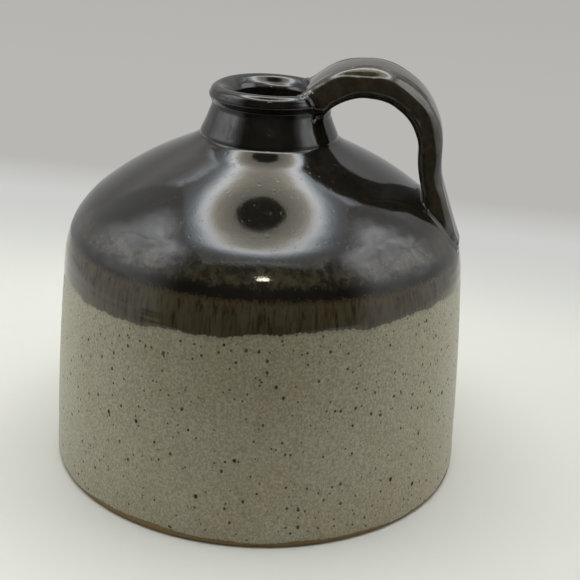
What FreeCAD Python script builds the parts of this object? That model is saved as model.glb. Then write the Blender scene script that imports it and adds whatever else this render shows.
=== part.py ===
import FreeCAD, Part
import os
import Sketcher
from FreeCAD import Placement, Rotation, Vector

# A hand-thrown stoneware whiskey jug with an open mouth and one pulled strap handle.
# Millimetres, +Z up. The origin is the centre of the base on the surface the jug stands on.
# The handle lies along +X, so the jug is its own mirror image across the XZ plane.
# It is one fired piece: the thrown pot, the rolled lip and the handle are one solid.

NODE = "jug"

SIZES = {
    # the thrown pot, from the foot upwards
    "body_radius": 82.5,        # widest, just above the foot
    "foot_bevel": 1.0,          # how far the foot's edge is turned in
    "foot_rise": 3.0,           # height of that turned edge
    "side_height": 86.0,        # base to where the side turns into the shoulder
    "side_taper": 4.1,          # how much the side closes in by then
    "side_curve": 1230.0,       # the side's slight belly
    "shoulder_rise": 25.0,
    "shoulder_inset": 14.4,
    "shoulder_curve": 36.0,
    "dome_rise": 21.5,          # shoulder to the collar at the neck's base
    "dome_curve": 214.0,
    "collar_radius": 26.6,
    "collar_step": 1.6,         # the collar's edge stands up off the dome
    "collar_lean": 0.3,
    # the neck and the rolled lip
    "neck_height": 20.1,        # collar's foot to the top of the lip
    "neck_curve": 48.0,
    "waist_radius": 20.6,
    "waist_drop": 9.0,          # top of the lip down to the narrowest place
    "lip_radius": 23.6,
    "roll_radius": 3.6,
    "roll_undercut": 2.4,       # from the roll's centre out to where its underside starts
    "mouth_curve": 9.0,         # the lip's top falls into the bore in this curve
    "mouth_drop": 4.0,
    "bore_radius": 14.5,
    # the hollow
    "wall": 6.0,
    "floor": 7.0,
    "floor_curve": 9.0,
    # the handle's centre line, from the lip to the shoulder
    "root_inset": 6.2,          # in from the lip's edge
    "root_drop": 3.6,           # below the top of the lip
    "crown_rise": 5.9,          # centre line's highest place above the top of the lip
    "arch_radius": 25.2,        # crown down to where the strap hangs straight
    "leg_lean": 5.0,            # outward lean of the hanging strap
    "leg_inset": 11.2,          # leg's end, in from the top of the side
    "leg_end_rise": 26.0,       # leg's end, above the top of the side
    "foot_length": 17.5,        # the tail pressed onto the shoulder
    # the strap's section at five stations
    "root_width": 30.0,
    "root_thickness": 11.6,
    "crown_width": 28.0,
    "crown_thickness": 11.2,
    "turn_width": 26.0,
    "turn_thickness": 8.6,
    "leg_width": 25.0,
    "leg_thickness": 7.0,
    "tail_width": 27.0,
    "tail_thickness": 3.0,
    "strap_crown": 0.3,         # rise of the strap's rounded back, as a share of its thickness
    "strap_bevel": 0.17,        # bevel on the strap's long edges, as a share of its thickness
}


def make_sheet(doc):
    """Every driving size in a cell of its own, under its own name."""
    sheet = doc.addObject("Spreadsheet::Sheet", "Sizes")
    for row, (alias, value) in enumerate(SIZES.items(), start=1):
        sheet.set(f"A{row}", alias)
        sheet.set(f"B{row}", str(value))
        sheet.setAlias(f"B{row}", alias)
    return sheet


def bound(text):
    """An expression on the sheet's cells, from one written with the bare names."""
    out, word = "", ""
    for letter in text + " ":
        if letter.isalnum() or letter == "_":
            word += letter
            continue
        out += f"Sizes.{word}" if word in SIZES else word
        out, word = out + letter, ""
    return out.strip()


def value_of(sheet, text):
    found = sheet.evalExpression(bound(text))
    return float(getattr(found, "Value", found))


def origin_plane(body, role):
    return next(f for f in body.Origin.OriginFeatures if f.Role == role)


def new_sketch(body, role, name):
    sketch = body.newObject("Sketcher::SketchObject", name)
    sketch.AttachmentSupport = [(origin_plane(body, role), "")]
    sketch.MapMode = "FlatFace"
    return sketch


def drive(sketch, constraint, name, text):
    """Add a constraint that follows an expression on the sheet."""
    index = sketch.addConstraint(constraint)
    sketch.renameConstraint(index, name)
    sketch.setExpression(f"Constraints.{name}", bound(text))


def curve_between(start, end, radius):
    """A straight edge, or an arc that bulges to the right of its travel for a positive radius."""
    if radius == 0:
        return Part.LineSegment(start, end)
    chord = end - start
    half = chord.Length / 2
    rise = abs(radius) - (radius * radius - half * half) ** 0.5
    side = Vector(chord.y, -chord.x, 0).normalize() * (rise if radius > 0 else -rise)
    return Part.Arc(start, (start + end) / 2 + side, end)


def trace(sheet, sketch, corners, curves, closed=True):
    """Draw edges through corners named (name, x, y), each curve a radius, signed as above, or None."""
    points = [Vector(value_of(sheet, x), value_of(sheet, y), 0) for _, x, y in corners]
    count = len(corners)
    ends = []
    for i, curve in enumerate(curves):
        start, end = points[i], points[(i + 1) % count]
        radius = value_of(sheet, curve) if curve else 0
        edge = sketch.addGeometry(curve_between(start, end, radius), False)
        first = 1 if sketch.getPoint(edge, 1).distanceToPoint(start) < 1e-6 else 2
        ends.append((edge, first, 3 - first))
    for i, (name, x, y) in enumerate(corners):
        edge, point = (ends[i][0], ends[i][1]) if i < len(ends) else (ends[-1][0], ends[-1][2])
        if x == "0":
            sketch.addConstraint(Sketcher.Constraint("PointOnObject", edge, point, -2))
        else:
            at = Sketcher.Constraint("DistanceX", -1, 1, edge, point, points[i].x)
            drive(sketch, at, f"{name}_across", x)
        if y == "0":
            sketch.addConstraint(Sketcher.Constraint("PointOnObject", edge, point, -1))
        else:
            at = Sketcher.Constraint("DistanceY", -1, 1, edge, point, points[i].y)
            drive(sketch, at, f"{name}_up", y)
    for i in range(len(ends) if closed else len(ends) - 1):
        here, after = ends[i], ends[(i + 1) % len(ends)]
        sketch.addConstraint(
            Sketcher.Constraint("Coincident", here[0], here[2], after[0], after[1])
        )
    for i, curve in enumerate(curves):
        if curve:
            size = curve.lstrip("-")
            at = Sketcher.Constraint("Radius", ends[i][0], value_of(sheet, size))
            drive(sketch, at, f"{corners[i][0]}_curve", size)


# Heights and radii that several features share, each from the sheet's own sizes.
SIDE_TOP = "(body_radius - side_taper)"
SHOULDER_IN = f"({SIDE_TOP} - shoulder_inset)"
SHOULDER_UP = "(side_height + shoulder_rise)"
COLLAR_UP = f"({SHOULDER_UP} + dome_rise)"
LIP_UP = f"({COLLAR_UP} + neck_height)"
DOME_SLOPE = f"atan(dome_rise / ({SHOULDER_IN} - collar_radius))"
BORE_FOOT = (
    f"({COLLAR_UP} + (collar_radius - bore_radius) * tan({DOME_SLOPE})"
    f" - wall / cos({DOME_SLOPE}))"
)


def add_outside(sheet, body):
    """The thrown pot with its collar, neck and rolled lip, turned as one solid."""
    sketch = new_sketch(body, "XZ_Plane", "OutsideProfile")
    roll_foot = "roll_radius ^ 2 - roll_undercut ^ 2"
    corners = [
        ("base_centre", "0", "0"),
        ("base_edge", "body_radius - foot_bevel", "0"),
        ("foot_top", "body_radius", "foot_rise"),
        ("side_top", SIDE_TOP, "side_height"),
        ("shoulder_top", SHOULDER_IN, SHOULDER_UP),
        ("collar_foot", "collar_radius", COLLAR_UP),
        ("collar_edge", "collar_radius - collar_lean", f"{COLLAR_UP} + collar_step"),
        ("waist", "waist_radius", f"{LIP_UP} - waist_drop"),
        (
            "roll_foot",
            "lip_radius - roll_radius + roll_undercut",
            f"{LIP_UP} - roll_radius - sqrt({roll_foot})",
        ),
        ("lip_top", "lip_radius - roll_radius", LIP_UP),
        ("mouth_edge", "bore_radius", f"{LIP_UP} - mouth_drop"),
        ("mouth_centre", "0", f"{LIP_UP} - mouth_drop"),
    ]
    curves = [
        None,
        None,
        "side_curve",
        "shoulder_curve",
        "dome_curve",
        None,
        "-neck_curve",
        None,
        "roll_radius",
        "mouth_curve",
        None,
        None,
    ]
    trace(sheet, sketch, corners, curves)
    turned = body.newObject("PartDesign::Revolution", "Outside")
    turned.Profile = sketch
    turned.ReferenceAxis = (sketch, ["V_Axis"])
    turned.Angle = 360
    return turned


# The handle's centre line: x across and z up at each station, and the strap's downward angle there.
LEG_X = f"({SIDE_TOP} - leg_inset)"
LEG_Z = "(side_height + leg_end_rise)"
TURN_X = f"({LEG_X} - leg_lean)"
CROWN_X = f"({TURN_X} - arch_radius)"
CROWN_Z = f"({LIP_UP} + crown_rise)"
TURN_Z = f"({CROWN_Z} - arch_radius)"
ROOT_X = "(lip_radius - root_inset)"
ROOT_Z = f"({LIP_UP} - root_drop)"
ROOT_CLIMB = f"(2 * atan(({CROWN_Z} - {ROOT_Z}) / ({CROWN_X} - {ROOT_X})))"
LEG_FALL = f"(2 * atan(({TURN_Z} - {LEG_Z}) / leg_lean) - 90 deg)"
TAIL_X = f"({LEG_X} + foot_length * cos({LEG_FALL}))"
TAIL_Z = f"({LEG_Z} - foot_length * sin({LEG_FALL}))"


def arc_radius(across, up):
    """Radius of the arc that leaves along one axis and ends this far across and up."""
    return f"(({across}) ^ 2 + ({up}) ^ 2) / (2 * ({up}))"


def add_handle_path(sheet, body):
    """The strap's centre line: up off the lip, over the crown, down the leg and onto the shoulder."""
    sketch = new_sketch(body, "XZ_Plane", "HandlePath")
    corners = [
        ("root", ROOT_X, ROOT_Z),
        ("crown", CROWN_X, CROWN_Z),
        ("turn", TURN_X, TURN_Z),
        ("leg", LEG_X, LEG_Z),
        ("tail", TAIL_X, TAIL_Z),
    ]
    climb = arc_radius(f"{CROWN_X} - {ROOT_X}", f"{CROWN_Z} - {ROOT_Z}")
    splay = arc_radius(f"{TURN_Z} - {LEG_Z}", "leg_lean")
    curves = ["-" + climb, "-arch_radius", splay, None]
    trace(sheet, sketch, corners, curves, closed=False)
    return sketch


def add_section(sheet, body, station, x, z, turn, upward=False):
    """The strap's section at one station: a rounded back, square sides and bevelled long edges."""
    sketch = new_sketch(body, "YZ_Plane", f"{station.capitalize()}Section")
    axis = Vector(-1 if upward else 1, 0, 0)
    angle = value_of(sheet, turn)
    offset = Vector(0, value_of(sheet, z), value_of(sheet, x))
    sketch.AttachmentOffset = Placement(offset, Rotation(axis, angle))
    sketch.setExpression("AttachmentOffset.Base.y", bound(z))
    sketch.setExpression("AttachmentOffset.Base.z", bound(x))
    if angle:
        sketch.setExpression("AttachmentOffset.Rotation.Angle", bound(turn))
    half = f"{station}_width / 2"
    thick = f"{station}_thickness"
    crown = f"{thick} * strap_crown"
    bevel = f"{thick} * strap_bevel"
    shoulder = f"{thick} / 2 - {crown}"
    flat = f"({half} - {bevel})"
    corners = [
        ("inner_left", f"-{flat}", f"-{thick} / 2"),
        ("inner_right", flat, f"-{thick} / 2"),
        ("side_right", half, f"-{thick} / 2 + {bevel}"),
        ("edge_right", half, f"{shoulder} - {bevel}"),
        ("back_right", flat, shoulder),
        ("back_left", f"-{flat}", shoulder),
        ("edge_left", f"-{half}", f"{shoulder} - {bevel}"),
        ("side_left", f"-{half}", f"-{thick} / 2 + {bevel}"),
    ]
    back = f"({flat} ^ 2 + ({crown}) ^ 2) / (2 * {crown})"
    curves = [None, None, None, None, back, None, None, None]
    trace(sheet, sketch, corners, curves)
    return sketch


def add_handle(sheet, body):
    """The strap, swept along its centre line through its five sections."""
    path = add_handle_path(sheet, body)
    sections = [
        add_section(sheet, body, "root", ROOT_X, ROOT_Z, ROOT_CLIMB, upward=True),
        add_section(sheet, body, "crown", CROWN_X, CROWN_Z, "0"),
        add_section(sheet, body, "turn", TURN_X, TURN_Z, "90 deg"),
        add_section(sheet, body, "leg", LEG_X, LEG_Z, LEG_FALL),
        add_section(sheet, body, "tail", TAIL_X, TAIL_Z, LEG_FALL),
    ]
    strap = body.newObject("PartDesign::AdditivePipe", "Handle")
    strap.Profile = sections[0]
    strap.Spine = (path, [])
    strap.Sections = [(section, [""]) for section in sections[1:]]
    strap.Transformation = "Multisection"
    strap.Mode = "Frenet"
    return strap


def add_inside(sheet, body):
    """The hollow: floor, side, shoulder and the bore, which also trims the handle's root."""
    sketch = new_sketch(body, "XZ_Plane", "InsideProfile")
    above = f"{CROWN_Z} + root_thickness"
    corners = [
        ("floor_centre", "0", "floor"),
        ("floor_edge", "body_radius - wall - floor_curve", "floor"),
        ("side_foot", "body_radius - wall", "floor + floor_curve"),
        ("side_top", f"{SIDE_TOP} - wall", "side_height"),
        (
            "shoulder_top",
            f"{SHOULDER_IN} - wall * sin({DOME_SLOPE})",
            f"{SHOULDER_UP} - wall * cos({DOME_SLOPE})",
        ),
        ("bore_foot", "bore_radius", BORE_FOOT),
        ("bore_top", "bore_radius", above),
        ("bore_centre", "0", above),
    ]
    curves = [
        None,
        "floor_curve",
        None,
        "shoulder_curve - wall",
        "dome_curve - wall",
        None,
        None,
        None,
    ]
    trace(sheet, sketch, corners, curves)
    hollow = body.newObject("PartDesign::Groove", "Inside")
    hollow.Profile = sketch
    hollow.ReferenceAxis = (sketch, ["V_Axis"])
    hollow.Angle = 360
    return hollow


def check(doc):
    """Stop if any object failed, or if the jug isn't one sound solid."""
    for item in doc.Objects:
        if "Invalid" in item.State or "Error" in item.State:
            raise RuntimeError(f"{item.Name} failed: {item.State}")
    shape = doc.getObject("Jug").Shape
    if shape.isNull() or not shape.isValid() or len(shape.Solids) != 1:
        raise RuntimeError("the jug is not one valid solid")


def main():
    doc = FreeCAD.newDocument("WhiskeyJug")
    sheet = make_sheet(doc)
    doc.recompute()
    body = doc.addObject("PartDesign::Body", "Jug")
    body.Label = NODE
    body.Placement = Placement(Vector(0, 0, 0), Rotation())
    volumes = []
    for add in (add_outside, add_handle, add_inside):
        feature = add(sheet, body)
        doc.recompute()
        volumes.append(feature.Shape.Volume)
    check(doc)
    turned, with_handle, hollow = volumes
    if not hollow < turned < with_handle:
        raise RuntimeError(f"a feature did not take: {volumes}")
    os.makedirs("parts", exist_ok=True)
    body.Shape.exportStep(os.path.join("parts", f"{body.Label}.step"))
    box = body.Shape.optimalBoundingBox()
    print(f"{body.Label}: {hollow / 1000:.1f} cm3 of clay, holds {inside_volume(body):.0f} cm3")
    print(f"box {box.XLength:.2f} x {box.YLength:.2f} x {box.ZLength:.2f} mm")


def inside_volume(body):
    """Brimful volume in cm3: the hollow's own turned solid up to the mouth's edge."""
    profile = body.Document.getObject("InsideProfile")
    face = Part.Face(Part.Wire(profile.Shape.Edges))
    solid = face.revolve(Vector(0, 0, 0), Vector(0, 0, 1), 360)
    top = body.Document.getObject("OutsideProfile").getDatum("mouth_edge_up").Value
    column = Part.makeBox(400, 400, top, Vector(-200, -200, 0))
    return solid.common(column).Volume / 1000


main()
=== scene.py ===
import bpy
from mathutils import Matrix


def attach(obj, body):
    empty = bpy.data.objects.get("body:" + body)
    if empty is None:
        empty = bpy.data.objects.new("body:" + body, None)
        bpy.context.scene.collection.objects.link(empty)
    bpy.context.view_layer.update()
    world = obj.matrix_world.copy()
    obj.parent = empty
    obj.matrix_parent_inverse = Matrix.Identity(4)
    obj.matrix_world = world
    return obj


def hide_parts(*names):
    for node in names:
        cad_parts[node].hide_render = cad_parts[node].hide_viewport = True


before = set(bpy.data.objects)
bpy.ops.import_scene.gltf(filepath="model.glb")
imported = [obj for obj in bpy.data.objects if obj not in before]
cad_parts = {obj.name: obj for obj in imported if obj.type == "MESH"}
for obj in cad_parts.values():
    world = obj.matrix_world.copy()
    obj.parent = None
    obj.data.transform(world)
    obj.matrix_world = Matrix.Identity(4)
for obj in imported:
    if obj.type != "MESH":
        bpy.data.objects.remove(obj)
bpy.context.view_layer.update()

import math
from functools import partial

import bmesh
import bpy
import numpy as np
from bpy.props import FloatProperty, FloatVectorProperty, PointerProperty
from mathutils import Matrix, Quaternion, Vector
from mathutils.bvhtree import BVHTree

bl_info = {
    "name": "Stoneware Whiskey Jug",
    "version": (1, 0, 0),
    "blender": (4, 5, 0),
    "location": "3D Viewport > Sidebar > Jug",
    "description": "A hand-thrown stoneware whiskey jug with a strap handle, in its light tent",
    "category": "Add Mesh",
}

MM = 0.001
OUTSIDE_SEGMENTS, INSIDE_SEGMENTS = 320, 160


def srgb(code):
    """Linear RGB from an sRGB hex value such as #6c6854."""
    values = [int(code[i : i + 2], 16) / 255 for i in (1, 3, 5)]
    return tuple(v / 12.92 if v <= 0.04045 else ((v + 0.055) / 1.055) ** 2.4 for v in values)


def rgba(colour):
    return (*colour, 1.0)


def length_mm(name, description, default):
    return FloatProperty(
        name=name, description=description, default=default * MM, unit="LENGTH", precision=5
    )


def angle_deg(name, description, default):
    return FloatProperty(
        name=name, description=description, default=math.radians(default), unit="ROTATION"
    )


def colour_of(name, description, code):
    return FloatVectorProperty(
        name=name, description=description, default=srgb(code), subtype="COLOR", size=3,
        min=0, max=1,
    )


# ---------------------------------------------------------------- sizes and colours


class JugPotSizes(bpy.types.PropertyGroup):
    """The thrown pot, from the foot up to the mouth."""

    body_radius: length_mm("Body radius", "Widest place, just above the foot", 82.5)
    foot_bevel: length_mm("Foot bevel", "How far the foot's edge is turned in", 1.0)
    foot_rise: length_mm("Foot rise", "Height of the turned edge", 3.0)
    side_height: length_mm("Side height", "Base to where the side turns in", 86.0)
    side_taper: length_mm("Side taper", "How much the side closes in by then", 4.1)
    side_curve: length_mm("Side curve", "Radius of the side's slight belly", 1230.0)
    shoulder_rise: length_mm("Shoulder rise", "Height of the shoulder's turn", 22.95)
    shoulder_inset: length_mm("Shoulder inset", "How far the shoulder closes in", 11.9)
    shoulder_curve: length_mm("Shoulder curve", "Radius of the shoulder", 35.9)
    shoulder_break: length_mm("Shoulder break", "How far the shoulder's edge stands proud", 0.32)
    dome_rise: length_mm("Dome rise", "Shoulder to where the dome runs straight", 16.05)
    dome_curve: length_mm("Dome curve", "Radius of the dome", 116.0)
    slant_radius: length_mm("Slant radius", "Where the dome runs straight", 42.0)
    slant_rise: length_mm("Slant rise", "Height of its straight part", 4.1)
    slant_curve: length_mm("Slant curve", "Slight curve of its straight part", 500.0)
    sweep_radius: length_mm("Sweep radius", "Where the dome sweeps up to the neck", 33.5)
    sweep_rise: length_mm("Sweep rise", "Height of that sweep", 3.3)
    sweep_curve: length_mm("Sweep curve", "Hollow radius of the sweep", 40.0)
    seat_radius: length_mm("Seat radius", "Where the tight hollow under the neck starts", 27.9)
    seat_rise: length_mm("Seat rise", "Height of that hollow", 1.2)
    seat_curve: length_mm("Seat curve", "Radius of that hollow", 5.0)
    collar_radius: length_mm("Collar radius", "Foot of the neck", 26.5)
    collar_step: length_mm("Collar step", "How far the collar stands up off the seat", 1.2)
    collar_curve: length_mm("Collar curve", "Round foot of the neck", 3.0)
    neck_height: length_mm("Neck height", "Collar's foot to the top of the lip", 19.0)
    neck_curve: length_mm("Neck curve", "Radius of the neck's hollow", 200.0)
    waist_radius: length_mm("Waist radius", "Narrowest place of the neck", 22.4)
    waist_drop: length_mm("Waist drop", "Top of the lip down to the waist", 8.0)
    lip_radius: length_mm("Lip radius", "Widest place of the rolled lip", 23.6)
    roll_radius: length_mm("Roll radius", "Radius of the lip's roll", 3.6)
    roll_undercut: length_mm("Roll undercut", "Roll's centre out to where it starts", 2.4)
    mouth_curve: length_mm("Mouth curve", "The lip falls into the bore in this curve", 9.0)
    mouth_drop: length_mm("Mouth drop", "How far it falls", 4.0)
    bore_radius: length_mm("Bore radius", "The mouth's bore", 14.5)
    wall: length_mm("Wall", "Thickness of the clay", 6.0)
    floor: length_mm("Floor", "Thickness of the floor", 7.0)
    floor_curve: length_mm("Floor curve", "Inside corner of the floor", 9.0)
    ring_pitch: length_mm("Throwing ring pitch", "One finger's climb per turn", 6.5)
    ring_relief: length_mm("Throwing ring relief", "Height of a throwing ring", 0.02)
    glaze_line: length_mm("Glaze line", "Middle height where the dark glaze ends", 80.4)
    glaze_line_tilt: length_mm("Glaze line tilt", "How far the dipping tilted that line", 3.6)
    glaze_line_dip: length_mm("Glaze line dip", "Depth of the run left of the front", 1.9)
    glaze_roll: length_mm("Glaze roll", "Thickness of the dark glaze at its edge", 0.12)
    foot_line: length_mm("Foot line", "Height of the bare clay at the foot", 2.6)


class JugStrapSizes(bpy.types.PropertyGroup):
    """The pulled strap handle, along its centre line and across its section."""

    root_inset: length_mm("Root inset", "In from the lip's edge", 6.2)
    root_drop: length_mm("Root drop", "Below the top of the lip", 3.6)
    crown_rise: length_mm("Crown rise", "Centre line's height above the lip", 5.5)
    arch_radius: length_mm("Arch radius", "Crown down to the hanging strap", 25.2)
    leg_lean: length_mm("Leg lean", "Outward lean of the hanging strap", 5.0)
    leg_inset: length_mm("Leg inset", "Leg's end, in from the top of the side", 11.2)
    leg_end_rise: length_mm("Leg end rise", "Leg's end, above the top of the side", 26.0)
    foot_length: length_mm("Foot length", "The tail pressed onto the shoulder", 16.6)
    joint_blend: length_mm("Joint blend", "Reach of the pressed clay at each joint", 3.4)
    joint_bead: length_mm("Joint bead", "Height of the bead of clay along the joint", 0.3)


class JugGlazeColours(bpy.types.PropertyGroup):
    """Tenmoku over oatmeal glaze, and the bare foot."""

    tenmoku: colour_of("Tenmoku", "Thick dark iron glaze", "#161410")
    tenmoku_streak: colour_of("Tenmoku streak", "Where it runs thin down the side", "#3d3424")
    tenmoku_olive: colour_of("Tenmoku olive", "The lighter runs", "#4c4633")
    tenmoku_rust: colour_of("Tenmoku rust", "Where it breaks over an edge", "#5a4524")
    oatmeal: colour_of("Oatmeal", "Satin grey-green glaze", "#9a957d")
    oatmeal_warm: colour_of("Oatmeal warm", "Where the clay warms it", "#989077")
    speck: colour_of("Iron speck", "Iron burnt through the glaze", "#1c140b")
    clay: colour_of("Bare clay", "Toasted stoneware", "#836b43")


class JugStudio(bpy.types.PropertyGroup):
    """The light tent, the paper floor and the camera."""

    lens: FloatProperty(name="Lens", description="Focal length in millimetres", default=74.45)
    distance: length_mm("Distance", "Camera to its target", 487.15)
    azimuth: angle_deg("Azimuth", "Round from the front, towards the handle", 6.0)
    elevation: angle_deg("Elevation", "Above the horizon", 21.595)
    roll: angle_deg("Roll", "Turn of the picture, clockwise", 2.49)
    aim_right: angle_deg("Aim right", "Camera's axis, right of the target", 1.309)
    aim_down: angle_deg("Aim down", "Camera's axis, below the target", 0.18)
    target_height: length_mm("Target height", "Where on the jug's axis it looks", 70.0)
    tent_half: length_mm("Tent half width", "Jug to the tent's sides", 360.0)
    tent_back: length_mm("Tent back", "Jug to the tent's back", 312.0)
    tent_height: length_mm("Tent height", "Floor to the tent's roof", 700.0)
    ring_radius: length_mm("Ring radius", "Middle of the ring lamp's bright part", 243.0)
    ring_left: length_mm("Ring left", "Ring lamp's middle, left of the jug", 20.0)
    ring_back: length_mm("Ring back", "Ring lamp's middle, behind the jug", 45.0)
    hole_radius: length_mm("Hole radius", "The dark lens hole in the roof", 101.0)
    hole_back: length_mm("Hole back", "The lens hole's middle, behind the jug", 20.0)
    ring_shape: FloatProperty(name="Ring shape", description="Width over depth", default=0.94)
    ring_strength: FloatProperty(name="Ring strength", description="Ring lamp", default=7.4)
    side_strength: FloatProperty(name="Side strength", description="Side walls", default=2.8)
    lamp_right: length_mm("Lamp right", "Small lamp in the tent's front, right of the jug", 0.0)
    lamp_height: length_mm("Lamp height", "Height of that lamp", 432.0)
    back_turn: angle_deg("Backdrop turn", "Its right side, towards the camera", 10.5)
    paper: colour_of("Paper", "Floor of white paper", "#d6d6cf")
    wall_foot: colour_of("Backdrop foot", "Where the floor turns up", "#cdcecb")
    wall_low: colour_of("Backdrop low", "Backdrop just above that", "#b9b7b3")
    wall_high: colour_of("Backdrop high", "Backdrop further up", "#b2b0ac")


# ---------------------------------------------------------------- mesh code


def arc(start, end, radius, step):
    """Points from start to end, in mm: straight for 0, bulging right of its travel if positive."""
    start, end = np.array(start, float), np.array(end, float)
    chord = end - start
    span = np.linalg.norm(chord)
    count = max(int(math.ceil(span / step)), 1) + 1
    t = np.linspace(0, 1, count)[:, None]
    if radius == 0:
        return start + chord * t
    side = np.array([chord[1], -chord[0]]) / span * (1 if radius > 0 else -1)
    centre = (start + end) / 2 - side * math.sqrt(radius * radius - span * span / 4)
    a = math.atan2(*(start - centre)[::-1])
    b = math.atan2(*(end - centre)[::-1])
    turn = (b - a + math.pi) % (2 * math.pi) - math.pi
    angle = a + turn * t[:, 0]
    return centre + abs(radius) * np.column_stack([np.cos(angle), np.sin(angle)])


def chain(parts):
    """Join runs of points end to end, each shared end kept once."""
    return np.vstack([parts[0]] + [part[1:] for part in parts[1:]])


def bump(at, centre, width):
    return np.exp(-(((at - centre) / width) ** 2))


def ease(at, low, high):
    t = np.clip((at - low) / (high - low), 0, 1)
    return t * t * (3 - 2 * t)


def in_mm(group):
    """A property group's lengths as plain numbers in mm."""
    return {name: getattr(group, name) / MM for name in group.__annotations__}


def levels(s):
    """Heights in mm of the shoulder's top, slant, sweep, seat, collar and lip."""
    steps = ("shoulder_rise", "dome_rise", "slant_rise", "sweep_rise", "seat_rise", "neck_height")
    return s["side_height"] + np.cumsum([s[step] for step in steps])


# In and down from the mouth's edge, in mm, to the clay that the hollow later takes out of the bore.
PLUG_STEP = (1.5, 2)
ABOVE_LIP = 30  # how far in mm the hollow's tool stands out of the mouth


def outside_profile(s):
    """Radius and height of each ring up the pot's outside, in mm, finest where the relief is."""
    side_top = s["body_radius"] - s["side_taper"]
    shoulder_up, slant_up, sweep_up, seat_up, collar_up, lip_up = levels(s)
    base_edge = (s["body_radius"] - s["foot_bevel"], 0)
    foot, side = (s["body_radius"], s["foot_rise"]), (side_top, s["side_height"])
    shoulder = (side_top - s["shoulder_inset"], shoulder_up)
    slant, sweep = (s["slant_radius"], slant_up), (s["sweep_radius"], sweep_up)
    seat, collar = (s["seat_radius"], seat_up), (s["collar_radius"], collar_up)
    collar_edge = (s["collar_radius"], collar_up + s["collar_step"])
    waist = (s["waist_radius"], lip_up - s["waist_drop"])
    roll, undercut = s["roll_radius"], s["roll_undercut"]
    lip_top = (s["lip_radius"] - roll, lip_up)
    roll_foot = (lip_top[0] + undercut, lip_up - roll - math.sqrt(roll ** 2 - undercut ** 2))
    mouth = (s["bore_radius"], lip_up - s["mouth_drop"])
    plug = (s["bore_radius"] - PLUG_STEP[0], lip_up - s["mouth_drop"] - PLUG_STEP[1])
    line_low = s["glaze_line"] - s["glaze_line_tilt"] - s["glaze_line_dip"] - 2
    belly = arc(foot, side, s["side_curve"], 0.5)
    keep = (belly[:, 1] > line_low) | (np.arange(len(belly)) % 5 == 0)
    return chain([
        arc((0, 0), base_edge, 0, 9.0),
        arc(base_edge, foot, s["foot_rise"] * 1.15, 0.5),
        belly[keep],
        arc(side, shoulder, s["shoulder_curve"], 0.8),
        arc(shoulder, slant, s["dome_curve"], 1.15),
        arc(slant, sweep, s["slant_curve"], 1.15),
        arc(sweep, seat, -s["sweep_curve"], 0.7),
        arc(seat, collar, -s["seat_curve"], 0.3),
        arc(collar, collar_edge, s["collar_curve"], 0.35),
        arc(collar_edge, waist, -s["neck_curve"], 0.5),
        arc(waist, roll_foot, 0, 0.45),
        arc(roll_foot, lip_top, roll, 0.4),
        arc(lip_top, mouth, s["mouth_curve"], 0.5),
        arc(mouth, plug, 0, 3.0),
        arc(plug, (0, plug[1]), 0, 6.0),
    ])


def inside_profile(s):
    """The hollow, from the middle of its floor up through the bore and out above the handle."""
    side_top = s["body_radius"] - s["side_taper"]
    shoulder_up, _, _, _, collar_up, lip_up = levels(s)
    shoulder = (side_top - s["shoulder_inset"], shoulder_up)
    slope = math.atan2(collar_up - shoulder_up, shoulder[0] - s["collar_radius"])
    bore_foot = (
        collar_up + (s["collar_radius"] - s["bore_radius"]) * math.tan(slope)
        - s["wall"] / math.cos(slope)
    )
    wall, curve = s["wall"], s["floor_curve"]
    inner = s["body_radius"] - wall
    floor_edge, side_foot = (inner - curve, s["floor"]), (inner, s["floor"] + curve)
    side = (side_top - wall, s["side_height"])
    under = (shoulder[0] - wall * math.sin(slope), shoulder[1] - wall * math.cos(slope))
    bore_low, bore_high = (s["bore_radius"], bore_foot), (s["bore_radius"], lip_up + ABOVE_LIP)
    return chain([
        arc((0, s["floor"]), floor_edge, 0, 8.0),
        arc(floor_edge, side_foot, curve, 2.0),
        arc(side_foot, side, 0, 5.0),
        arc(side, under, s["shoulder_curve"] - wall, 3.0),
        arc(under, bore_low, 2 * s["dome_curve"] - wall, 4.0),
        arc(bore_low, bore_high, 0, 1.0),
        arc(bore_high, (0, bore_high[1]), 0, 8.0),
    ])


def glaze_line_height(s, azimuth):
    """Height of the dark glaze's lower edge round the pot, in mm: tilted, one run, and scallops."""
    level = s["glaze_line"] + s["glaze_line_tilt"] * np.cos(azimuth + math.radians(45))
    from_run = (azimuth + math.radians(118) + math.pi) % (2 * math.pi) - math.pi
    level = level - s["glaze_line_dip"] * bump(from_run, 0, math.radians(24))
    scallops = 0.5 * np.sin(9 * azimuth + 0.6) + 0.35 * np.sin(17 * azimuth + 2.0)
    return level + scallops + 0.22 * np.sin(31 * azimuth + 4.1) + 0.18 * np.sin(47 * azimuth)


def foot_line_height(s, azimuth):
    """Height of the lower glaze's bottom edge, in mm: it wanders, with a few dips."""
    wander = 0.5 * np.sin(3 * azimuth + 1.1) + 0.4 * np.sin(7 * azimuth + 3.0)
    return s["foot_line"] + wander + 0.25 * np.sin(19 * azimuth + 0.4)


def right_of(line):
    """The way out to the right of travel at each point of a line."""
    run = np.gradient(line, axis=0)
    run /= np.maximum(np.linalg.norm(run, axis=1, keepdims=True), 1e-9)
    return np.column_stack([run[:, 1], -run[:, 0]])


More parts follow.
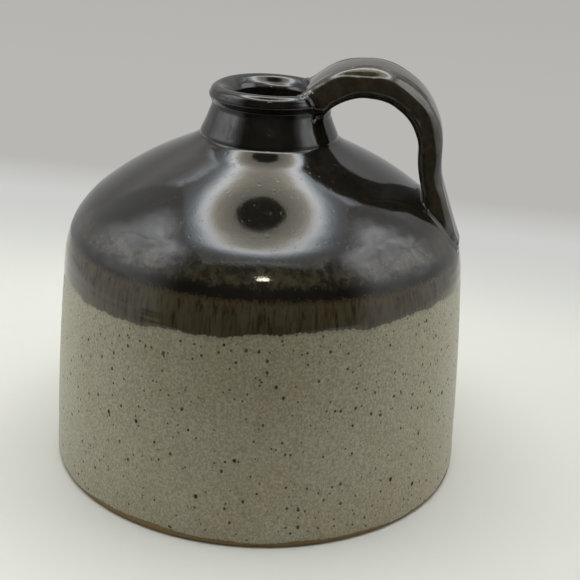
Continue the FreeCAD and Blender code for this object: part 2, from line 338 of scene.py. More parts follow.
def thrown_relief(s, radius, height, azimuth):
    """How far the thrown wall stands off its plain turned form, in mm, at each ring and azimuth."""
    lip_up = levels(s)[-1]
    climb = height + s["ring_pitch"] * azimuth / (2 * math.pi)
    wall = ease(height, 4, 12) * (1 - ease(height, 118, 133.5)) * (radius > s["collar_radius"])
    rings = s["ring_relief"] * (1 - 0.75 * ease(height, 92, 104)) * (
        np.sin(2 * math.pi * climb / s["ring_pitch"]) + 0.6 * np.sin(2 * math.pi * climb / 3.1 + 1)
    )
    slow = 0.10 * np.sin(2 * azimuth + 0.03 * height) + 0.04 * np.sin(
        3 * azimuth + 0.05 * height + 2
    ) + 0.015 * np.sin(5 * azimuth - 0.08 * height)
    out = wall * (rings + slow)
    out += s["shoulder_break"] * bump(height, s["side_height"] + 11.5, 5.0) * wall
    over = height - glaze_line_height(s, azimuth)
    out += s["glaze_roll"] * wall * (ease(over, -0.6, 0.9) * 0.8 + 0.2 * bump(over, 1.2, 1.2))
    bare = height - foot_line_height(s, azimuth)
    out += 0.22 * ease(bare, -0.4, 0.4) * (height < 12) * (height > 0.2) * (1 - ease(height, 8, 12))
    neck = (radius < s["collar_radius"] + 0.01) & (height > lip_up - s["neck_height"] - 0.01)
    out += neck * (
        0.10 * np.sin(2 * azimuth + 0.4 * height) * ease(height, lip_up - 18, lip_up - 12)
    ) * (radius > s["bore_radius"] + 3)
    roll = neck & (radius > s["waist_radius"] + 0.4) & (height > lip_up - 9)
    out += roll * (
        0.30 * bump(height, lip_up - 6.9, 0.45) - 0.42 * bump(height, lip_up - 5.6, 0.55)
        - 0.20 * bump(height, lip_up - 2.4, 0.45)
    )
    lip_top = neck & (height > lip_up - 3.0)
    out += lip_top * 0.12 * np.sin(3 * azimuth + 1.0)
    return out


def closed_skin(name, rings, ends, flipped=False):
    """A closed mesh over rings of points in mm, shut at both ends by a fan to an end point."""
    count, last = len(rings[0]), (len(rings) - 1) * len(rings[0])
    bottom, top = last + count, last + count + 1
    faces = [
        (low + j, low + k, low + count + k, low + count + j)
        for low in range(0, last, count)
        for j, k in neighbours(count)
    ]
    for j, k in neighbours(count):
        faces += [(bottom, k, j), (top, last + j, last + k)]
    if flipped:
        faces = [(face[0], *face[:0:-1]) for face in faces]
    mesh = bpy.data.meshes.new(name)
    mesh.from_pydata((np.vstack([*rings, ends]) * MM).tolist(), [], faces)
    return mesh


def neighbours(count):
    """Each place round a ring, with the next."""
    return [(j, (j + 1) % count) for j in range(count)]


def turned_solid(name, profile, segments, relief=None):
    """A closed solid turned about Z from a profile in mm that starts and ends on the axis."""
    angle = np.arange(segments) * 2 * math.pi / segments
    radius, height = profile[1:-1, 0][:, None], profile[1:-1, 1][:, None]
    normal = right_of(profile)[1:-1]
    off = relief(radius, height, angle[None, :]) if relief else np.zeros((len(radius), segments))
    r = radius + normal[:, :1] * off
    z = height + normal[:, 1:] * off
    rings = np.stack([r * np.cos(angle), r * np.sin(angle), z + 0 * angle], axis=-1)
    return closed_skin(name, rings, [[0, 0, profile[0, 1]], [0, 0, profile[-1, 1]]])


def strap_line(s, h, step=0.8):
    """The strap's centre line in the XZ plane, in mm, and how far along it each station is."""
    side_top = s["body_radius"] - s["side_taper"]
    lip_up = levels(s)[-1]
    leg = np.array([side_top - h["leg_inset"], s["side_height"] + h["leg_end_rise"]])
    turn = np.array([leg[0] - h["leg_lean"], lip_up + h["crown_rise"] - h["arch_radius"]])
    crown = np.array([turn[0] - h["arch_radius"], lip_up + h["crown_rise"]])
    root = np.array([s["lip_radius"] - h["root_inset"], lip_up - h["root_drop"]])
    fall = 2 * math.atan2(turn[1] - leg[1], h["leg_lean"]) - math.pi / 2
    tail = leg + h["foot_length"] * np.array([math.cos(fall), -math.sin(fall)])

    def tangent_arc(across, up):
        return (across * across + up * up) / (2 * up)

    climb = tangent_arc(crown[0] - root[0], crown[1] - root[1])
    splay = tangent_arc(turn[1] - leg[1], h["leg_lean"])
    runs = [
        arc(root, crown, -climb, step),
        arc(crown, turn, -h["arch_radius"], step),
        arc(turn, leg, splay, step),
        arc(leg, tail, 0, step),
    ]
    line = chain(runs)
    along = np.concatenate([[0], np.cumsum(np.linalg.norm(np.diff(line, axis=0), axis=1))])
    ends = np.cumsum([0] + [len(run) - 1 for run in runs])
    return line, along, along[ends]


# Across the strap at root, crown, turn, leg and tail, in mm: the width and thickness of the clay,
# the rise of its rounded back, the bevel worn along the back's edges, and the bevel underneath.
STRAP_STATIONS = {
    "width": (29.5, 28.0, 26.0, 25.0, 26.5),
    "thickness": (11.4, 11.9, 9.4, 8.3, 3.4),
    "crown": (1.2, 0.5, 1.2, 1.6, 1.2),
    "bevel": (1.2, 4.8, 3.8, 3.3, 1.6),
    "under": (2.0, 3.0, 2.6, 1.9, 0.8),
}
STRAP_GROOVE = 0.30  # depth in mm of the groove along each edge of the arch


def strap_section(width, thickness, crown, bevel, under, groove):
    """The strap's outline at one station, from its back's middle round one edge and back, in mm."""
    half, back = width / 2, thickness / 2 - crown * 0.35
    drop = bevel * 0.62
    right = [
        (0.0, back + crown * 0.35),
        (half * 0.30, back + crown * 0.28),
        (half * 0.58, back + crown * 0.04),
        (half - bevel - 1.5, back - groove),
        (half - bevel - 0.5, back - groove * 0.2),
        (half - bevel, back - 0.05),
        (half - bevel * 0.5, back - drop * 0.38),
        (half - 0.35, back - drop * 0.92),
        (half, back - drop - 0.45),
        (half + 0.15, -thickness * 0.08),
        (half, -thickness / 2 + under + 0.3),
        (half - 0.35, -thickness / 2 + under * 0.75),
        (half - under * 0.8, -thickness / 2 + 0.25),
        (half - under - 0.5, -thickness / 2),
        (half * 0.45, -thickness / 2 - 0.1),
    ]
    left = [(-y, b) for y, b in reversed(right[1:])]
    return np.array(right + [(0.0, -thickness / 2 - 0.15)] + left)


def rounded(loop):
    """One round of corner cutting on a closed loop."""
    after = np.roll(loop, -1, axis=0)
    return np.stack([loop * 0.75 + after * 0.25, loop * 0.25 + after * 0.75], axis=1).reshape(-1, 2)


def strap_solid(name, s, h):
    """The pulled strap as a closed solid, swept along its centre line."""
    line, along, stations = strap_line(s, h)
    back = -right_of(line)
    sizes = {}
    for key, values in STRAP_STATIONS.items():
        value = np.pad(np.interp(along, stations, values), 5, mode="edge")
        sizes[key] = np.convolve(value, np.ones(11) / 11, mode="valid")
    rings = []
    for i, at in enumerate(along):
        groove = STRAP_GROOVE * ease(at, stations[0] + 8, stations[0] + 14) * (
            1 - ease(at, stations[1] + 16, stations[1] + 24)
        )
        width = sizes["width"][i] + 0.25 * math.sin(at * 0.31) + 0.15 * math.sin(at * 0.83 + 1)
        width *= math.sqrt(1 - 0.55 * ease(at, stations[-1] - 8, stations[-1]) ** 2)
        thickness = sizes["thickness"][i] + 0.12 * math.sin(at * 0.47 + 2)
        loop = strap_section(
            width, thickness, sizes["crown"][i],
            sizes["bevel"][i] * (1 + 0.15 * math.sin(at * 0.37)), sizes["under"][i], groove,
        )
        loop = rounded(rounded(loop))
        side = np.zeros((len(loop), 3))
        side[:, 0] = line[i, 0] + back[i, 0] * loop[:, 1]
        side[:, 1] = loop[:, 0] + 0.25 * math.sin(at * 0.11 + 0.5)
        side[:, 2] = line[i, 1] + back[i, 1] * loop[:, 1]
        rings.append(side)
    ends = [rings[0].mean(axis=0), rings[-1].mean(axis=0)]
    return closed_skin(name, rings, ends, flipped=True)


def scratch_object(mesh):
    thing = bpy.data.objects.new(mesh.name, mesh)
    bpy.context.scene.collection.objects.link(thing)
    return thing


def cut_or_join(thing, tool, operation):
    """Apply a boolean with another mesh, and throw the tool away."""
    modifier = thing.modifiers.new("clay", "BOOLEAN")
    modifier.operation = operation
    modifier.solver = "EXACT"
    modifier.object = tool
    graph = bpy.context.evaluated_depsgraph_get()
    mesh = bpy.data.meshes.new_from_object(thing.evaluated_get(graph))
    thing.modifiers.clear()
    old = thing.data
    thing.data = mesh
    bpy.data.meshes.remove(old)
    spare = tool.data
    bpy.data.objects.remove(tool)
    bpy.data.meshes.remove(spare)


def tree_of(mesh):
    work = bmesh.new()
    work.from_mesh(mesh)
    work.normal_update()
    tree = BVHTree.FromBMesh(work)
    work.free()
    return tree


def off_surface(tree, points):
    """Signed distance from a closed surface at each point, in metres, and the way out of it."""
    gaps, ways = np.empty(len(points)), np.empty((len(points), 3))
    for i, point in enumerate(points):
        at, normal, _, gap = tree.find_nearest(point)
        way = Vector(point) - at
        inside = way.dot(normal) < 0
        gaps[i] = -gap if inside else gap
        ways[i] = normal if gap < 2e-5 else (way / gap * (-1 if inside else 1))
    return gaps, ways


# The clay is pressed this often, and smoothed out before each press but the last two.
PRESSES, SMOOTHED_PRESSES = 7, 5


def press_joints(mesh, pot, strap, reach, bead):
    """Press the strap's ends into the pot: soft fillets, with a bead of clay beside each joint."""
    work = bmesh.new()
    work.from_mesh(mesh)
    bmesh.ops.triangulate(work, faces=work.faces)
    wide = reach * 1.25

    def by_joints():
        """The vertices on the handle's side that lie near both the pot and the strap."""
        box = [v for v in work.verts if abs(v.co.y) < 0.022 and v.co.x > 0.008 and v.co.z > 0.085]
        gaps = [np.abs(off_surface(tree, [v.co for v in box])[0]) for tree in (pot, strap)]
        return [v for v, yes in zip(box, np.maximum(*gaps) < wide) if yes]

    close = set(by_joints())
    for longest in (0.0011, 0.0009):
        edges = [
            e for e in work.edges
            if e.verts[0] in close and e.verts[1] in close and e.calc_length() > longest
        ]
        made = bmesh.ops.subdivide_edges(work, edges=edges, cuts=1, use_grid_fill=False)
        fresh = [g for g in made["geom_inner"] if isinstance(g, bmesh.types.BMVert)]
        close |= set(fresh)
        bmesh.ops.triangulate(work, faces=[f for f in work.faces if len(f.verts) > 3])
    short = [v for v in close if v.is_valid]
    bmesh.ops.remove_doubles(work, verts=short, dist=0.00022)
    work.verts.ensure_lookup_table()
    patch = by_joints()
    for turn in range(PRESSES):
        if turn < SMOOTHED_PRESSES:
            places = [
                sum((e.other_vert(v).co for e in v.link_edges), Vector()) / len(v.link_edges)
                for v in patch
            ]
            for v, place in zip(patch, places):
                v.co = v.co.lerp(place, 0.5)
        points = [v.co.copy() for v in patch]
        a, way_a = off_surface(pot, points)
        b, way_b = off_surface(strap, points)
        mix = np.clip(1 - np.abs(a - b) / reach, 0, 1)
        gap = np.minimum(a, b) - mix * mix * reach / 4
        edge = bead * (bump(b, reach * 0.62, reach * 0.15) * bump(a, 0, reach * 0.3)
                       - 0.5 * bump(b, reach * 0.36, reach * 0.12) * bump(a, 0, reach * 0.3))
        share = np.clip(0.5 + (b - a) / (2 * reach), 0, 1)[:, None]
        way = way_a * share + way_b * (1 - share)
        way /= np.maximum(np.linalg.norm(way, axis=1, keepdims=True), 1e-6)
        for v, g, w, up in zip(patch, gap, way, edge):
            v.co = v.co - Vector(w) * (g - up)
    work.to_mesh(mesh)
    work.free()


def every(items, name, width, kind=float):
    """One property of all the items, a row for each."""
    values = np.empty(len(items) * width, kind)
    items.foreach_get(name, values)
    return values.reshape(-1, width)


def paint_heights(mesh, s, pot):
    """Keep, at each vertex, what the glaze needs to know of the form, in mm or as a share."""
    count = len(mesh.vertices)
    co = every(mesh.vertices, "co", 3) / MM
    normal = every(mesh.vertices, "normal", 3)
    radius = np.hypot(co[:, 0], co[:, 1])
    azimuth = np.arctan2(co[:, 1], co[:, 0])
    inner = ((co[:, 0] * normal[:, 0] + co[:, 1] * normal[:, 1]) < 0) & (
        radius < s["body_radius"] - s["wall"] * 0.6
    ) & (co[:, 2] < s["side_height"] + s["shoulder_rise"])
    side = s["body_radius"] - s["side_taper"] * co[:, 2] / s["side_height"]
    inner |= (radius < side - s["wall"] * 0.6) & (co[:, 2] > 2) & (co[:, 2] < s["side_height"])
    over = co[:, 2] - glaze_line_height(s, azimuth)
    over[inner] = 40
    bare = co[:, 2] - foot_line_height(s, azimuth)
    bare[inner] = 20
    ends = every(mesh.edges, "vertices", 2, int)
    run = co[ends[:, 1]] - co[ends[:, 0]]
    span = np.maximum((run ** 2).sum(axis=1), 0.01)
    bend = np.zeros(count)
    weight = np.zeros(count)
    np.add.at(bend, ends[:, 0], -(run * normal[ends[:, 0]]).sum(axis=1) / span)
    np.add.at(bend, ends[:, 1], (run * normal[ends[:, 1]]).sum(axis=1) / span)
    np.add.at(weight, ends.ravel(), 1)
    bend /= np.maximum(weight, 1)
    for _ in range(2):
        total = np.zeros(count)
        np.add.at(total, ends[:, 0], bend[ends[:, 1]])
        np.add.at(total, ends[:, 1], bend[ends[:, 0]])
        bend = 0.5 * bend + 0.5 * total / np.maximum(weight, 1)
    strap = np.zeros(count)
    near = (co[:, 0] > 14) & (np.abs(co[:, 1]) < 22) & (co[:, 2] > s["side_height"])
    which = np.flatnonzero(near)
    gaps, _ = off_surface(pot, [Vector(co[i] * MM) for i in which])
    strap[which] = ease(gaps / MM, 0.4, 2.5)
    for name, values in (
        ("over_line", over), ("over_foot", bare), ("edge_bend", bend), ("on_strap", strap)
    ):
        mesh.attributes.new(name, "FLOAT", "POINT").data.foreach_set(
            "value", values.astype(np.float32)
        )


# ---------------------------------------------------------------- materials


class Board:
    """A material's or world's node tree, emptied, with a short way to add each kind of node."""

    def __init__(self, owner):
        owner.use_nodes = True
        self.tree = owner.node_tree
        self.tree.nodes.clear()

    def add(self, kind, inputs=None, stops=None, **settings):
        """Add a node with its settings, its ramp's stops, and its inputs' values or links."""
        item = self.tree.nodes.new(f"ShaderNode{kind}")
        for name, value in settings.items():
            setattr(item, name, value)
        if stops:
            ramp = item.color_ramp.elements
            while len(ramp) < len(stops):
                ramp.new(0.5)
            for element, (place, colour) in zip(ramp, stops):
                element.position, element.color = place, rgba(colour)
        for socket, value in (inputs or {}).items():
            if isinstance(value, bpy.types.NodeSocket):
                self.tree.links.new(value, item.inputs[socket])
            else:
                item.inputs[socket].default_value = value
        return item

    def place(self):
        return self.add("TexCoord").outputs["Object"]

    def camera_ray(self):
        return self.add("LightPath").outputs["Is Camera Ray"]

    def kept(self, name):
        """What paint_heights kept under this name."""
        return self.add("Attribute", attribute_name=name).outputs["Fac"]

    def along(self, vector):
        """A vector's own X, Y and Z."""
        return self.add("SeparateXYZ", {0: vector}).outputs

    def maths(self, operation, a, b=0.0, c=0.0):
        return self.add("Math", {0: a, 1: b, 2: c}, operation=operation).outputs[0]

    def vector(self, operation, a, b):
        return self.add("VectorMath", {0: a, 1: b}, operation=operation).outputs[0]

    def scaled(self, vector, scale):
        inputs = {0: vector, "Scale": scale}
        return self.add("VectorMath", inputs, operation="SCALE").outputs[0]

    def distance(self, a, b):
        return self.add("VectorMath", {0: a, 1: b}, operation="DISTANCE").outputs["Value"]

    def length(self, vector):
        return self.add("VectorMath", {0: vector}, operation="LENGTH").outputs["Value"]

    def noise(self, vector, detail=2.0, rough=0.5, scale=1.0, twist=0.0):
        return self.add("TexNoise", {
            "Vector": vector, "Scale": scale, "Detail": detail, "Roughness": rough,
            "Distortion": twist,
        }).outputs["Fac"]

    def ranged(self, value, low, high, start=0.0, end=1.0, kind="SMOOTHSTEP"):
        return self.add("MapRange", {
            "Value": value, "From Min": low, "From Max": high, "To Min": start, "To Max": end,
        }, interpolation_type=kind).outputs["Result"]

    def between(self, value, rise, fall):
        """1 from the end of the rise to the start of the fall, and 0 outside them."""
        up = self.ranged(value, *rise)
        return self.maths("MULTIPLY", up, self.maths("SUBTRACT", 1.0, self.ranged(value, *fall)))

    def mixed(self, share, a, b):
        return self.add("Mix", {0: share, 6: a, 7: b}, data_type="RGBA").outputs[2]

    def blended(self, share, a, b):
        return self.add("Mix", {0: share, 2: a, 3: b}, data_type="FLOAT").outputs[0]

    def ramp(self, value, stops):
        return self.add("ValToRGB", {0: value}, stops=stops).outputs[0]

    def glow(self, colour, strength):
        return self.add("Emission", {"Color": colour, "Strength": strength}).outputs[0]

    def finish(self, shader):
        self.add("OutputMaterial", {"Surface": shader})


def glazed_stoneware(c):
    """Wheel-thrown stoneware, dipped twice and fired in reduction: tenmoku over an oatmeal glaze.

    Tenmoku is a thick, glassy iron glaze: near black where it lies deep, olive and brown where it
    runs thin, rust where it breaks over an edge. The oatmeal glaze is satin, and iron in the clay
    burns through it as brown specks. The foot is bare, dry, toasted clay.
    """
    material = bpy.data.materials.new("tenmoku_over_oatmeal_stoneware")
    board = Board(material)
    maths, ranged, mixed, blended = board.maths, board.ranged, board.mixed, board.blended
    noise, between = board.noise, board.between
    tenmoku, streak, olive = rgba(c.tenmoku), rgba(c.tenmoku_streak), rgba(c.tenmoku_olive)

    mm = board.scaled(board.place(), 1 / MM)
    over, bare = board.kept("over_line"), board.kept("over_foot")
    bend, strap = board.kept("edge_bend"), board.kept("on_strap")
    height = board.along(mm)["Z"]

    def stretched(across, up):
        """Coordinates that repeat about every across mm round the pot and every up mm along it."""
        return board.vector("MULTIPLY", mm, (1 / across, 1 / across, 1 / up))

    # the glaze line: runs of glaze 1 to 3 mm wide serrate it
    serration = noise(stretched(1.5, 40), 2.0, 0.6)
    above = maths("ADD", over, maths("MULTIPLY_ADD", serration, 2.2, -1.1))
    dark = ranged(above, -0.14, 0.14)
    fringe = maths("MULTIPLY", ranged(above, -1.6, -0.1), maths("SUBTRACT", 1.0, dark))

    # tenmoku: vertical runs 1 to 2 mm wide in the band under the shoulder
    runs = noise(stretched(1.3, 16), 3.0, 0.6)
    broad = noise(stretched(7, 30), 2.0, 0.5)
    both_runs = maths("ADD", maths("MULTIPLY", runs, 0.7), maths("MULTIPLY", broad, 0.3))
    thin_run = mixed(ranged(both_runs, 0.38, 0.62), streak, olive)
    deep_run = mixed(ranged(runs, 0.34, 0.46, 0.45, 1.0), tenmoku, thin_run)

    # going up, in mm: the band's end, the rust over the shoulder's edge, the olive just above it
    edge_up = maths("ADD", height, maths("MULTIPLY_ADD", runs, 5.0, -2.5))
    under_edge = maths("SUBTRACT", 1.0, ranged(edge_up, 93.0, 95.5))
    band = maths("MULTIPLY", under_edge, ranged(height, 60, 62))
    rust_zone = between(edge_up, (90.5, 93.5), (94.0, 96.5))
    olive_zone = between(edge_up, (97.5, 100.5), (101, 109))

    flecks = noise(stretched(0.9, 2.0), 2.0, 0.6)
    rust_fleck = maths("MULTIPLY", rust_zone, ranged(flecks, 0.50, 0.62))
    mottle = noise(stretched(2.2, 3.0), 3.0, 0.6)
    body = mixed(ranged(mottle, 0.5, 0.8, 0.0, 0.35), tenmoku, streak)
    body = mixed(band, body, deep_run)
    olive_mottle = ranged(mottle, 0.36, 0.68, 0.12, 0.62)
    body = mixed(maths("MULTIPLY", olive_zone, olive_mottle), body, olive)
    body = mixed(maths("MULTIPLY", rust_fleck, 0.45), body, rgba(c.tenmoku_rust))
    pulled = mixed(ranged(mottle, 0.35, 0.65), streak, olive)
    body = mixed(maths("MULTIPLY", strap, 0.45), body, pulled)
    edge = maths("MULTIPLY", ranged(bend, 0.10, 0.42), ranged(mottle, 0.25, 0.60))
    body = mixed(maths("MULTIPLY", edge, 0.8), body, streak)

    def toned(value, low, high, start, end, colour):
        """A colour made darker and lighter by a mottle."""
        inputs = {"Value": ranged(value, low, high, start, end), "Color": colour}
        return board.add("HueSaturation", inputs).outputs[0]

    # oatmeal: cloudy warm patches, a fine mottle, and iron specks 0.5 to 1.7 mm across
    cloud = noise(stretched(26, 34), 2.0, 0.5)
    fine = noise(stretched(0.8, 1.0), 3.0, 0.6)
    pale = mixed(ranged(cloud, 0.38, 0.66), rgba(c.oatmeal), rgba(c.oatmeal_warm))
    tone = toned(fine, 0.28, 0.72, 0.68, 1.30, pale)

    def specks(cell, smallest, largest, share):
        """Round specks, about one to a cell this many mm wide, in this share of the cells."""
        cells = board.add("TexVoronoi", {"Vector": stretched(cell, cell * 1.25), "Scale": 1.0})
        chance = board.add("SeparateColor", {0: cells.outputs["Color"]}).outputs
        size = ranged(chance["Green"], 0.0, 1.0, smallest / cell / 2, largest / cell / 2)
        ragged = maths("MULTIPLY_ADD", fine, 0.10, -0.05)
        reach = maths("ADD", cells.outputs["Distance"], maths("MULTIPLY", ragged, 1.6 / cell))
        spot = maths("SUBTRACT", 1.0, ranged(maths("DIVIDE", reach, size), 0.75, 1.15))
        return maths("MULTIPLY", spot, maths("LESS_THAN", chance["Red"], share))

    small = maths("MAXIMUM", specks(3.4, 0.7, 1.3, 0.6), specks(2.2, 0.5, 0.9, 0.45))
    spots = maths("MAXIMUM", specks(8.0, 1.0, 1.7, 0.55), maths("MULTIPLY", small, 0.85))
    tone = mixed(maths("MULTIPLY", spots, 0.95), tone, rgba(c.speck))
    tone = mixed(maths("MULTIPLY", fringe, 0.25), tone, olive)

    # bare clay: grit under a ragged lower edge of glaze
    grit = noise(stretched(0.7, 0.7), 4.0, 0.7)
    clay = toned(grit, 0.25, 0.75, 0.72, 1.15, rgba(c.clay))
    ragged_foot = maths("MULTIPLY_ADD", noise(stretched(1.6, 30)), 1.6, -0.8)
    glazed = ranged(maths("ADD", bare, ragged_foot), -0.12, 0.12)
    colour = mixed(glazed, clay, mixed(dark, tone, body))

    # glassy tenmoku, satin oatmeal with duller specks, dry clay
    speck_dulls = maths("MULTIPLY", spots, maths("MULTIPLY_ADD", dark, -0.15, 0.15))
    gloss = maths("ADD", blended(dark, 0.36, 0.075), speck_dulls)
    rough = blended(glazed, 0.88, gloss)
    dull = maths("MULTIPLY", spots, maths("SUBTRACT", 1.0, dark))

    # relief in mm: orange peel in the glass, fine pitting in the satin glaze, grit in the clay
    peel = maths("MULTIPLY", noise(stretched(5.0, 6.0), 2.0, 0.5), 0.030)
    peel = maths("MULTIPLY_ADD", fine, 0.012, peel)
    peel = maths("MULTIPLY_ADD", spots, -0.018, peel)
    pits = maths("ADD", maths("MULTIPLY", fine, 0.05), maths("MULTIPLY", spots, -0.10))
    relief = blended(glazed, maths("MULTIPLY", grit, 0.25), blended(dark, pits, peel))
    surface = board.add("Bump", {"Height": relief, "Distance": MM, "Strength": 1.0})
    shader = board.add("BsdfPrincipled", {
        "Base Color": colour, "Roughness": rough, "IOR": 1.55,
        "Specular IOR Level": maths("MULTIPLY_ADD", dull, -0.4, 0.5),
        "Normal": surface.outputs["Normal"],
    })
    board.finish(shader.outputs[0])
    return material


def lit(code, *stops):
    """Stops for a ramp of light, each at its place: an sRGB tint at a share of full strength."""
    return [(place, tuple(level * value for value in srgb(code))) for place, level in stops]


WHITE, WARM, COOL = "#ffffff", "#fff9e7", "#eef8ff"


def tent_roof(p):
    """White nylon with a ring lamp above it: a soft bright ring round the dark lens hole."""
    material = bpy.data.materials.new("tent_roof_ring_lamp")
    board = Board(material)
    place = board.place()
    moved = board.vector("ADD", place, (p.ring_left, p.ring_back, 0))
    moved = board.vector("MULTIPLY", moved, (1, p.ring_shape, 1))
    share = board.maths("DIVIDE", board.length(moved), 1.6 * p.ring_radius)
    glow = board.ramp(share, [
        *lit(WARM, (0.26, 0.24), (0.345, 0.29), (0.44, 0.38), (0.51, 0.56)),
        *lit(WHITE, (0.575, 0.92), (0.625, 1.0)),
        *lit(COOL, (0.67, 0.88), (0.725, 0.56), (0.785, 0.33), (0.865, 0.19)),
        *lit(WHITE, (1.0, 0.12)),
    ])
    to_hole = board.distance(place, (-p.ring_left, -p.hole_back, 0))
    edge = (p.hole_radius * 0.95, p.hole_radius * 1.05)
    strength = board.ranged(to_hole, *edge, 0.15, p.ring_strength, "LINEAR")
    board.finish(board.glow(glow, strength))
    return material


def tent_side(name, strength, rise, fall, front):
    """White nylon lit from outside: a soft cloudy patch from rise to fall along it, dim elsewhere.

    Front is the sign of the end that meets the tent's open front, where the nylon is dimmest.
    """
    material = bpy.data.materials.new(name)
    board = Board(material)
    maths, ranged = board.maths, board.ranged
    place = board.place()
    folds = board.noise(place, 3.0, 0.6, scale=8.0, twist=1.2)
    seams = board.noise(place, 1.0, scale=4.5, twist=0.4)
    off_seam = maths("ABSOLUTE", maths("SUBTRACT", seams, 0.5))
    shift = maths("MULTIPLY_ADD", folds, 0.10, -0.05)
    parts = board.along(place)
    climb = board.ramp(maths("ADD", parts["Y"], shift), [(at, (grey,) * 3) for at, grey in (
        (0.10, 0), (0.20, 0.3), (0.28, 0.6), (0.40, 0.75), (0.47, 1), (0.55, 0.95),
        (0.62, 0.45), (0.68, 0.15),
    )])
    level = ranged(folds, 0.3, 0.7, 0.55, 1.25, "LINEAR")
    creased = ranged(off_seam, 0.002, 0.012, 0.45, 1.0, "LINEAR")
    for share in (climb, creased):
        level = maths("MULTIPLY", level, share)
    for low, high in (rise, fall[::-1]):
        level = maths("MULTIPLY", level, ranged(maths("ADD", parts["X"], shift), low, high))
    dim = ranged(parts["X"], 0.36 * front, 0.20 * front, 0.05, 0.55)
    level = maths("MULTIPLY_ADD", level, strength, dim)
    board.finish(board.glow(rgba(srgb("#fbfdff")), level))
    return material


def tent_front(p):
    """The tent's open front: dark below, the roof's glow on the flap above, one small lamp."""
    material = bpy.data.materials.new("tent_front_flap")
    board = Board(material)
    place = board.place()
    parts = board.along(place)
    climb = board.ramp(parts["Y"], [
        *lit("#fff6ea", (0.30, 0.03), (0.58, 0.06)),
        *lit(WHITE, (0.64, 0.35), (0.68, 0.85), (0.70, 1.0)),
    ])
    centred = board.ranged(board.maths("ABSOLUTE", parts["X"]), 0.08, 0.28, 2.1, 0.85)
    to_lamp = board.distance(place, (p.lamp_right, p.lamp_height, 0))
    lamp = board.ranged(to_lamp, 0.014, 0.026, 45.0, 0.0)
    flap = board.glow(climb, centred)
    small = board.glow(rgba(srgb("#fff4dc")), lamp)
    board.finish(board.add("AddShader", {0: flap, 1: small}).outputs[0])
    return material


def paper_sweep(p):
    """Matt white paper for the floor, which fades to the backdrop's tone where it turns up."""
    material = bpy.data.materials.new("matt_paper_floor")
    board = Board(material)
    maths, ranged = board.maths, board.ranged
    place = board.place()
    parts = board.along(place)
    back = maths("MULTIPLY_ADD", parts["X"], math.tan(p.back_turn), parts["Y"])
    turn_up = ranged(back, p.tent_back - 0.19, p.tent_back)
    around = ranged(board.length(place), 0.33, 0.40)
    seen = board.camera_ray()
    share = maths("MULTIPLY", maths("MAXIMUM", turn_up, around), seen)
    # beyond the open front the floor sends back little light, except to the camera
    lit_part = maths("MAXIMUM", ranged(back, -0.27, -0.17, 0.08), seen)
    tone = board.mixed(lit_part, (0, 0, 0, 1), rgba(p.paper))
    # painted shade: the paper's colour is a shade lighter on the left and darker on the right,
    # where the lamps' light falls off
    paper_painted_shade = ranged(parts["X"], -0.2, 0.2, 1.03, 0.96, "LINEAR")
    matt = board.add("BsdfDiffuse", {"Color": board.scaled(tone, paper_painted_shade)}).outputs[0]
    even = board.glow(rgba(p.wall_foot), 1.0)
    board.finish(board.add("MixShader", {0: share, 1: matt, 2: even}).outputs[0])
    return material


def tent_back(p):
    """Pale nylon backdrop: an even grey with painted light, lighter near the floor and a shade
    darker higher up, and open when seen from behind.
    """
    material = bpy.data.materials.new("tent_backdrop")
    board = Board(material)
    up = board.along(board.place())["Y"]
    # painted light: the backdrop's colour is lighter at its foot and darker further up
    tone = board.ramp(board.maths("DIVIDE", up, 0.2), [
        (0.0, p.wall_foot), (0.11, p.wall_low), (0.45, p.wall_low), (0.9, p.wall_high),
    ])
    under_roof = board.ramp(up, [
        *lit(WHITE, (0.26, 0.16), (0.38, 0.27), (0.52, 0.25)),
        *lit("#fbfdff", (0.60, 0.42)), *lit(COOL, (0.68, 0.95)),
    ])
    seen = board.camera_ray()
    glow = board.glow(board.mixed(seen, under_roof, tone), board.blended(seen, 2.8, 1.0))
    clear = board.add("BsdfTransparent").outputs[0]
    behind = board.add("NewGeometry").outputs["Backfacing"]
    board.finish(board.add("MixShader", {0: behind, 1: glow, 2: clear}).outputs[0])
    return material


# ---------------------------------------------------------------- operators


class JUG_OT_add_glazed_jug(bpy.types.Operator):
    """Throw the pot, pull and press on its strap handle, hollow it and glaze it, as one piece"""

    bl_idname = "jug.add_glazed_jug"
    bl_label = "Glazed Jug"

    def execute(self, context):
        s = in_mm(context.scene.jug_pot)
        h = in_mm(context.scene.jug_strap)
        outer = turned_solid(
            "jug_glazed", outside_profile(s), OUTSIDE_SEGMENTS,
            partial(thrown_relief, s),
        )
        strap = strap_solid("strap", s, h)
        pot_tree, strap_tree = tree_of(outer), tree_of(strap)
        piece = scratch_object(outer)
        cut_or_join(piece, scratch_object(strap), "UNION")
        press_joints(
            piece.data, pot_tree, strap_tree,
            context.scene.jug_strap.joint_blend, context.scene.jug_strap.joint_bead,
        )
        hollow = turned_solid("hollow", inside_profile(s), INSIDE_SEGMENTS)
        cut_or_join(piece, scratch_object(hollow), "DIFFERENCE")
        if len(piece.data.polygons) < 1000:
            raise RuntimeError("the jug's clay did not join")
        piece.name = piece.data.name = "jug_glazed"
        piece.data.shade_smooth()
        paint_heights(piece.data, s, pot_tree)
        piece.data.materials.clear()
        piece.data.materials.append(glazed_stoneware(context.scene.jug_glaze))
        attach(piece, "root")
        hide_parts("jug")
        return {"FINISHED"}


